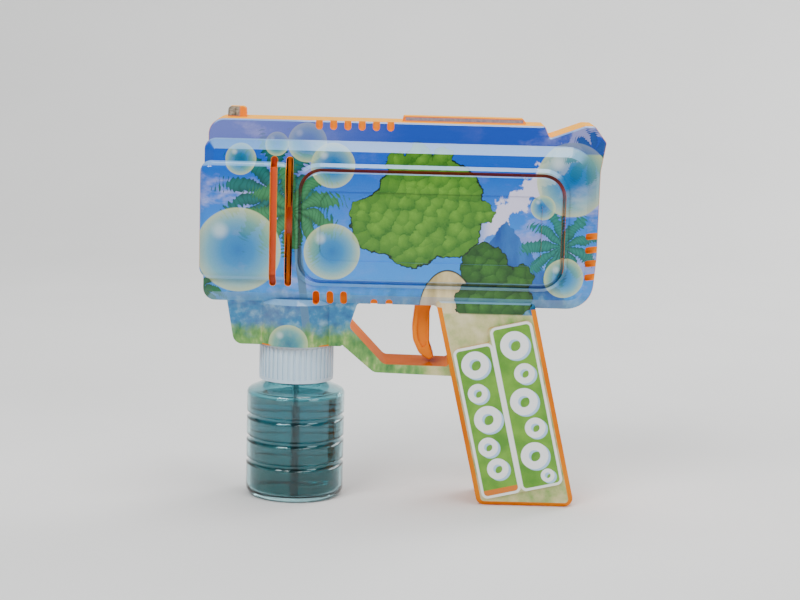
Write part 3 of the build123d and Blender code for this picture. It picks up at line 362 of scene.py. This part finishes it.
def mountain(shell, below):
    """A peak with a plume of cloud that leans away from it."""
    ridge = shell.absolute(shell.math("SUBTRACT", shell.x, 0.0475))
    ridge = shell.math("MULTIPLY_ADD", ridge, -1.25, level(41))
    ridge = shell.rough_edge(ridge, 240, 3, 0.0012, shell.flat, 0.3, 0.7)
    slope = shell.ease(shell.math("SUBTRACT", ridge, shell.z), -0.0002, 0.0004)
    plume_x, _, plume_z = shell.split(shell.vector("SUBTRACT", shell.flat, at(46, 44)))
    plume = shell.math("SUBTRACT", plume_z, plume_x)
    plume = shell.rough_edge(plume, 170, 4, 0.006, shell.flat)
    plume = shell.within(plume, -0.0065, 0.0055, 0.001)
    plume = shell.times(plume, shell.ease(plume_x, -0.014, -0.004))
    picture = shell.mix(shell.times(plume, 0.85), below, PLUME)
    return shell.mix(slope, picture, shell.tints(ROCK_TINTS, 150, 4, shell.squashed(0.3)))


def shore(shell, below):
    edge = shell.rough_edge(shell.z, 120, 4, 0.004, shell.flat)
    amount = shell.times(shell.fade(edge, level(-2), level(12)), 0.8)
    return shell.mix(amount, below, shell.tints(WATER_TINTS, 210, 5, shell.flat))


def palm_trunk(shell, below):
    lean = shell.math("SUBTRACT", shell.z, level(20))
    lean = shell.math("MULTIPLY_ADD", lean, 0.12, 0.0465)
    distance = shell.absolute(shell.math("ADD", shell.x, lean))
    inside = shell.fade(distance, 0.0016, 0.0020)
    inside = shell.times(inside, shell.fade(shell.z, level(50), level(52)))
    return shell.mix(inside, below, (0.07, 0.17, 0.30))


def palm(shell, below, x, z, radius, fronds, phase, colour):
    """A crown of fronds round (x, z), with split edges."""
    arm = shell.vector("SUBTRACT", shell.warp(shell.flat, 75, (0.009, 0, 0.009)), at(x, z))
    across, _, up = shell.split(arm)
    angle = shell.math("ARCTAN2", up, across)
    reach = shell.math("DIVIDE", shell.vector("LENGTH", arm), radius * MM)
    droop = shell.times(shell.math("SIGN", across), 0.55)
    droop = shell.math("MULTIPLY_ADD", reach, droop, angle)
    wave = shell.math("MULTIPLY_ADD", droop, fronds / 2, phase)
    wave = shell.absolute(shell.math("SINE", wave))
    split = shell.math("MULTIPLY_ADD", reach, 46.0, shell.times(angle, 5.0))
    split = shell.absolute(shell.math("SINE", split))
    edge = shell.math("MULTIPLY_ADD", shell.math("POWER", wave, 0.6), 0.74, 0.26)
    edge = shell.math("SUBTRACT", edge, shell.times(split, 0.20))
    edge = shell.rough_edge(edge, 260, 2, 0.10, None, 0.3, 0.7)
    inside = shell.ease(shell.math("SUBTRACT", edge, reach), -0.01, 0.03)
    light = shell.times(wave, shell.ease(split, 0.0, 0.7, 0.55, 1.0))
    return shell.mix(inside, below, shell.mix(light, [c * 0.35 for c in colour], colour))


def pale_trunk(shell, below):
    squash = 0.62
    sheet = shell.vector("MULTIPLY", shell.sheet, (1, squash, 0))
    distance = shell.vector("DISTANCE", sheet, Vector((0.0215, level(-3) * squash, 0)))
    bark = shell.tints(BARK_TINTS, 120, 4, shell.squashed(0.25))
    bark = shell.mix(shell.ease(distance, 0.0123, 0.0126), bark, OUTLINE)
    return shell.mix(shell.fade(distance, 0.0128, 0.0130), below, bark)


def foliage(shell, below, lobes, light, deep):
    """Leaf clusters that fill the joined lobes, lit from the upper left, outlined in black-green."""
    leafy = shell.warp(shell.sheet, 300, (0.0046, 0.0046, 0))
    nearest = 9.0
    for x, z, radius in lobes:
        middle = Vector((x, z + BODY_Z, 0)) * MM
        share = shell.math("DIVIDE", shell.vector("DISTANCE", leafy, middle), radius * MM)
        nearest = shell.math("SMOOTH_MIN", nearest, share, 0.25)
    cells = shell.node("ShaderNodeTexVoronoi", voronoi_dimensions="2D")
    shell.put(cells.inputs["Vector"], leafy)
    shell.put(cells.inputs["Scale"], 190)
    lit_point = shell.vector("ADD", cells.outputs["Position"], (-0.0012, 0.0014, 0))
    lit = shell.math("DIVIDE", shell.vector("DISTANCE", leafy, lit_point), 0.0054)
    middling = [0.55 * a + 0.45 * b for a, b in zip(light, deep)]
    green = shell.ramp(lit, [(0.05, light), (0.5, middling), (0.95, deep)])
    mottle = shell.ease(shell.noise(900, 2, shell.sheet), 0.35, 0.65, 0.0, 0.35)
    green = shell.mix(mottle, green, middling)
    green = shell.mix(shell.ease(nearest, 0.35, 0.95, 0.0, 0.55), green, deep)
    green = shell.mix(shell.ease(nearest, 0.925, 0.95), green, LEAF_OUTLINE)
    return shell.mix(shell.fade(nearest, 0.975, 0.985), below, green)


def grass(shell, below):
    """Grass on the socket and the guard, fainter behind the trigger."""
    edge = shell.rough_edge(shell.z, 180, 3, 0.003, shell.flat)
    low = shell.fade(edge, level(-17), level(-8))
    amount = shell.times(low, shell.ease(shell.x, 0.012, 0.016, 1.0, 0.25))
    return shell.mix(amount, below, shell.tints(GRASS_TINTS, 260, 5, shell.squashed(0.5)))


def bubble(shell, below, x, z, radius):
    distance = shell.vector("DISTANCE", shell.flat, at(x, z))
    share = shell.math("DIVIDE", distance, radius * MM)
    cover = shell.ramp(share, BUBBLE_COVER)
    result = shell.mix(cover, below, shell.ramp(share, BUBBLE_TINTS))
    glint_place = at(x - 0.42 * radius, z + 0.45 * radius)
    glint = shell.vector("DISTANCE", shell.flat, glint_place)
    glint = shell.ease(glint, 0.04 * radius * MM, 0.26 * radius * MM, 0.35, 0.0)
    return shell.mix(glint, result, (0.90, 0.95, 0.92))


def grip_plaque(shell, below):
    """White-edged plates along the left of the grip: rings on green, an orange band at the foot."""
    arm = shell.vector("SUBTRACT", shell.place, GRIP_FOOT)
    across = shell.vector("DOT_PRODUCT", arm, GRIP_ACROSS)
    up = shell.vector("DOT_PRODUCT", arm, GRIP_UP)
    front = rounded_box(shell, across, up, (-9.9, 43.7), (9.3, 36.2), 3)
    rear = rounded_box(shell, across, up, (9.3, 47), (9.9, 39.5), 3)
    plate = shell.math("ADD", shell.math("MINIMUM", front, rear), shell.right_side)
    result = shell.mix(shell.fade(plate, -0.0001, 0.0002), below, PLATE_EDGE)
    inner = shell.fade(plate, -0.0014, -0.0011)
    result = shell.mix(inner, result, shell.tints(PLATE_TINTS, 90, 3))
    plate_place = shell.join(across, up)
    left_side = shell.math("SUBTRACT", 1.0, shell.right_side)
    for shift, colour in RING_COATS:
        for ring_across, ring_up, radius in PLAQUE_RINGS:
            middle = Vector((ring_across + shift[0], ring_up + shift[1], 0)) * MM
            distance = shell.vector("DISTANCE", plate_place, middle)
            ring = shell.within(distance, 0.42 * radius * MM, radius * MM, 0.00012)
            result = shell.mix(shell.times(ring, left_side), result, colour)
    band = shell.times(shell.fade(up, 0.0112, 0.0116), inner, shell.fade(across, -0.0006, -0.0002))
    return shell.mix(band, result, PLATE_BAND)


def grip_print(shell, below):
    on_grip = shell.fade(shell.z, level(-3.5), level(-2.5))
    on_grip = shell.times(on_grip, shell.ease(shell.x, 0.010, 0.012))
    return shell.mix(on_grip, below, grip_plaque(shell, shell.tints(GRIP_TINTS, 75, 4, shell.flat)))


def edge_tones(shell, below):
    """The darker printed strip along the top, a painted highlight on the bevels (stronger on those facing
    up), and the print's fine grain over all.
    """
    strip = shell.fade(shell.out, 0.0139, 0.0142)
    strip = shell.times(strip, shell.ease(shell.z, level(71), level(72)))
    tint = shell.mix(shell.ease(shell.x, -0.075, 0.005), STRIP_FRONT, STRIP_REAR)
    picture = shell.mix(shell.times(strip, 0.65), below, tint)
    # painted highlight: pale blue on the bevels, by how steeply they face up or down
    bevel_highlight = shell.ease(shell.absolute(shell.normal_z), 0.45, 0.62)
    bevel_highlight = shell.times(bevel_highlight, shell.ease(shell.normal_z, -0.3, 0.3, 0.25, 0.5))
    picture = shell.mix(bevel_highlight, picture, BEVEL_HIGHLIGHT)
    grain = shell.ease(shell.noise(2600, 1), 0.35, 0.65, 0.0, 0.16)
    return shell.mix(grain, picture, (0.80, 0.84, 0.92), "SOFT_LIGHT")


def cut_edges(shell):
    """0 inside the slots and notches, 1 elsewhere."""
    result = 1.0
    for middle_x, middle_z, half_x, half_z in SLOTS:
        radius = min(half_x, half_z)
        middle = (middle_x, middle_z + BODY_Z)
        gap = rounded_box(shell, shell.x, shell.z, middle, (half_x, half_z), radius)
        result = shell.times(result, shell.ease(gap, -0.00004, 0.00004))
    return result


def film_mask(shell):
    """1 where the printed film lies on the plastic, 0 where bare orange shows."""

    def beyond(low, high):
        """1 further from the middle plane than the base form's face, within low to high mm of it."""
        return shell.ease(shell.out, (BASE_HALF + low) * MM, (BASE_HALF + high) * MM)

    body = shell.times(beyond(-0.75, -0.55), shell.ease(shell.z, level(-0.6), level(-0.2)))
    body = shell.times(body, shell.fade(shell.facing_end, 0.93, 0.97))
    sides = shell.times(shell.facing_side, beyond(-0.2, -0.1))
    from_bottle = shell.absolute(shell.math("SUBTRACT", shell.x, BOTTLE_X * MM))
    drum = shell.times(shell.fade(from_bottle, 0.0203, 0.0206), beyond(-0.15, -0.05))
    drum = shell.times(drum, shell.ease(shell.z, level(-19.8), level(-19.5)))
    film = shell.math("MAXIMUM", shell.math("MAXIMUM", body, sides), drum)
    return shell.times(film, cut_edges(shell))


def sight_and_rail(shell, picture, film):
    """Speckled sides of the front sight and the top rail; they count as film."""
    side_face = shell.times(shell.facing_side, shell.ease(shell.z, level(84.3), level(84.5)))
    sight = shell.times(side_face, shell.fade(shell.x, -0.0764, -0.0756))
    rail = shell.times(side_face, shell.within(shell.x, 0.0004, 0.0545, 0.0002))
    rail = shell.times(rail, shell.fade(shell.z, level(85.8), level(86.0)))
    speckle = shell.tints(SPECKLE_TINTS, 620, 3)
    picture = shell.mix(sight, picture, speckle)
    picture = shell.mix(rail, picture, shell.mix(0.35, (0.26, 0.27, 0.48), speckle))
    return picture, shell.math("MAXIMUM", film, shell.math("MAXIMUM", sight, rail))


def painted_groove_shade(shell):
    """1 in the upper part of the groove round the side panel, where dark red is painted as shade on its
    downward-facing wall.
    """
    middle = (PANEL_X, PANEL_Z + BODY_Z)
    rim = rounded_box(shell, shell.x, shell.z, middle, (60.9, 26.35), 10.6)
    panel = rounded_box(shell, shell.x, shell.z, middle, (59.5, 24.95), 9.4)
    groove = shell.times(shell.fade(rim, -0.0001, 0.00015), shell.ease(panel, -0.00025, 0.0))
    groove = shell.times(groove, shell.fade(shell.out, *RIM_FACE))
    groove = shell.times(groove, shell.ease(shell.z, level(48), level(57)))
    return shell.times(groove, shell.ease(shell.out, 0.0168, 0.0170))


def bare_plastic(shell):
    """Orange, with a painted highlight where it faces up and painted shade low down, most of all round the
    guard.
    """
    bare = shell.tints(BARE_TINTS, 38, 4)
    # painted highlight: yellower orange on upward-facing bare plastic, fading in above the body's
    # underside
    bright = shell.ease(shell.normal_z, 0.55, 0.9)
    bright = shell.times(bright, shell.ease(shell.z, level(0), level(60)))
    bare = shell.mix(bright, bare, ORANGE_PAINTED_LIGHT)
    # painted shade: deeper orange low down, strongest round the guard and weaker behind it
    deep = shell.ease(shell.z, level(-34), level(-4), 0.9, 0.0)
    deep = shell.times(deep, shell.ease(shell.x, 0.016, 0.024, 1.0, 0.4))
    return shell.mix(deep, bare, ORANGE_PAINTED_SHADE)


def printed_shell():
    shell = Shell()
    picture = shore(shell, mountain(shell, sky(shell)))
    picture = palm_trunk(shell, picture)
    for tree in PALMS:
        picture = palm(shell, picture, *tree)
    picture = pale_trunk(shell, picture)
    picture = foliage(shell, picture, BUSH, (0.045, 0.17, 0.022), (0.008, 0.05, 0.008))
    picture = foliage(shell, picture, CROWN, (0.13, 0.33, 0.028), (0.028, 0.13, 0.012))
    picture = grass(shell, picture)
    for x, z, radius in BUBBLES:
        picture = bubble(shell, picture, x, z, radius)
    picture = edge_tones(shell, grip_print(shell, picture))
    picture, film = sight_and_rail(shell, picture, film_mask(shell))
    painted = shell.mix(film, bare_plastic(shell), picture)
    # painted shade: dark red in the upper part of the groove round the side panel
    shell.colour(shell.mix(shell.times(painted_groove_shade(shell), 0.9), painted, GROOVE_SHADE))
    shell.put(shell.shader.inputs["Coat Weight"], shell.math("MULTIPLY_ADD", film, 0.75, 0.12))
    plastic_gloss = shell.ease(shell.noise(150, 3), 0.3, 0.7, 0.32, 0.44)
    shell.roughness(shell.math("MULTIPLY_ADD", film, -0.14, plastic_gloss))
    fine = shell.times(shell.noise(2200, 2), 0.3)
    shell.bump(shell.math("MULTIPLY_ADD", shell.noise(420, 2), 0.7, fine), 0.00007, 0.28)
    return shell


# ---------------------------------------------------------------- bottle, collar and cells
def clear_bottle():
    paint = Paint("clear_bottle", roughness=0.04, Transmission_Weight=1.0, IOR=1.4, Coat_Weight=0.3)
    paint.colour(paint.ramp(paint.noise(30, 3), [(0.35, (0.26, 0.56, 0.62)), (0.65, (0.40, 0.70, 0.74))]))
    paint.bump(paint.noise(70, 3), 0.0003, 0.25)
    return paint


def solution():
    paint = Paint("bubble_solution", roughness=0.02, Transmission_Weight=0.92, IOR=1.33)
    height = paint.ease(paint.split(paint.place)[2], 0.0, 0.046)
    paint.colour(paint.mix(height, (0.012, 0.15, 0.13), (0.04, 0.28, 0.33)))
    return paint


def ribbed_collar():
    scatter = {"Subsurface_Weight": 0.1, "Subsurface_Radius": (0.002, 0.002, 0.003)}
    return moulded("collar_plastic", (0.58, 0.75, 0.88), 0.36, 0.03, 700, **scatter)


def cell_wrap():
    """Battery sleeve: dark band, light band, bright metal ends, no marks."""
    paint = Paint("cell_wrap", roughness=0.25, Coat_Weight=0.5)
    up = paint.vector("DOT_PRODUCT", paint.vector("SUBTRACT", paint.place, GRIP_FOOT), GRIP_UP)
    band = paint.ease(up, 0.045, 0.0453)
    steel = paint.math("MAXIMUM", paint.ease(up, 0.0588, 0.0590), paint.fade(up, 0.0106, 0.0108))
    sleeve = paint.mix(band, (0.02, 0.05, 0.10), (0.62, 0.45, 0.12))
    paint.colour(paint.mix(steel, sleeve, (0.70, 0.70, 0.70)))
    paint.put(paint.shader.inputs["Metallic"], steel)
    paint.bump(paint.noise(500, 2), 0.00004, 0.2)
    return paint


# ---------------------------------------------------------------- materials on the pieces, floor and light
def finishes():
    """Gives each CAD piece its material."""
    shell = printed_shell()
    orange = moulded("orange_plastic", (0.84, 0.22, 0.001), 0.36, 0.06, coat=0.05, Specular_IOR_Level=0.12)
    white = moulded("white_plastic", (0.80, 0.80, 0.77), 0.40, 0.04, Subsurface_Weight=0.1)
    deep = moulded("deep_orange", (0.70, 0.10, 0.005), 0.36, 0.06)
    grey = moulded("grey_plastic", (0.10, 0.105, 0.115), 0.45)
    acetal = moulded("gear_plastic", (0.78, 0.74, 0.62), 0.42, 0.04)
    black = moulded("black_plastic", (0.018, 0.018, 0.02), 0.42)
    silicone = moulded("silicone", (0.84, 0.88, 0.88), 0.22, 0.03, Transmission_Weight=0.85, IOR=1.38)
    zinc = metal("zinc_steel", (0.62, 0.63, 0.65))
    looks = {
        "left_casing": shell, "right_casing": shell,
        "muzzle_ring": orange, "trigger": orange, "battery_cover": orange,
        "bubble_nozzle": white, "air_duct": white, "fan_impeller": white, "bottle_socket": white,
        "pump_cover": white,
        "pump_roller_1": white, "pump_roller_2": white, "pump_roller_3": white,
        "fan_housing": deep, "fan_cover": deep, "pump_housing": grey, "battery_box": grey,
        "drive_pinion": acetal, "pump_gear": acetal,
        "motor_endbell": black, "switch_body": black,
        "pump_tube": silicone, "dip_tube": silicone, "feed_tube": silicone, "bottle_seal": silicone,
        "casing_screws": zinc, "battery_cover_screw": zinc, "motor_can": zinc, "motor_shaft": zinc,
        "trigger_pin": zinc, "trigger_spring": zinc, "battery_contacts": zinc,
        "bottle_collar": ribbed_collar(), "bottle": clear_bottle(), "bubble_solution": solution(),
        "switch_plunger": moulded("switch_red", (0.55, 0.04, 0.03)),
        "led_board": moulded("circuit_board", (0.03, 0.20, 0.07), 0.3, coat=0.4),
        "leds": moulded("led_clear", (0.80, 0.86, 0.92), 0.10, 0.02, Transmission_Weight=0.25),
        "wires": moulded("wire_sheath", (0.50, 0.03, 0.025), 0.45),
    }
    cells = cell_wrap()
    for number in (1, 2, 3):
        looks[f"battery_{number}"] = cells
    for node, paint in looks.items():
        mesh = NODES[node].data
        mesh.materials.clear()
        mesh.materials.append(paint.material)


def make_floor():
    """A floor that bends up into a back wall, in metres."""
    mesh = bpy.data.meshes.new("floor")
    front, back, wall_top, half_width = -1.6, 1.1, 1.8, 2.4
    bend, steps = 0.35, 12
    rows = [(front, 0.0)]
    for i in range(steps + 1):
        angle = math.pi / 2 * i / steps
        rows.append((back - bend + bend * math.sin(angle), bend - bend * math.cos(angle)))
    rows.append((back, wall_top))
    vertices = [(side * half_width, y, z) for y, z in rows for side in (-1, 1)]
    faces = [(2 * i, 2 * i + 1, 2 * i + 3, 2 * i + 2) for i in range(len(rows) - 1)]
    mesh.from_pydata(vertices, [], faces)
    for polygon in mesh.polygons:
        polygon.use_smooth = True
    floor = bpy.data.objects.new("floor", mesh)
    bpy.context.collection.objects.link(floor)
    paint = Paint("floor", roughness=0.75)
    paint.colour(paint.ramp(paint.noise(6, 2), [(0.3, (0.80, 0.80, 0.79)), (0.7, (0.84, 0.84, 0.83))]))
    mesh.materials.append(paint.material)


def make_light():
    for name, place, size, power in LAMPS:
        area_light(name, place, size, power)
    world = bpy.data.worlds.new("studio")
    world.use_nodes = True
    background = world.node_tree.nodes["Background"]
    background.inputs["Color"].default_value = WORLD_COLOUR
    background.inputs["Strength"].default_value = WORLD_STRENGTH
    bpy.context.scene.world = world


make_camera()
make_light()
make_floor()
finishes()
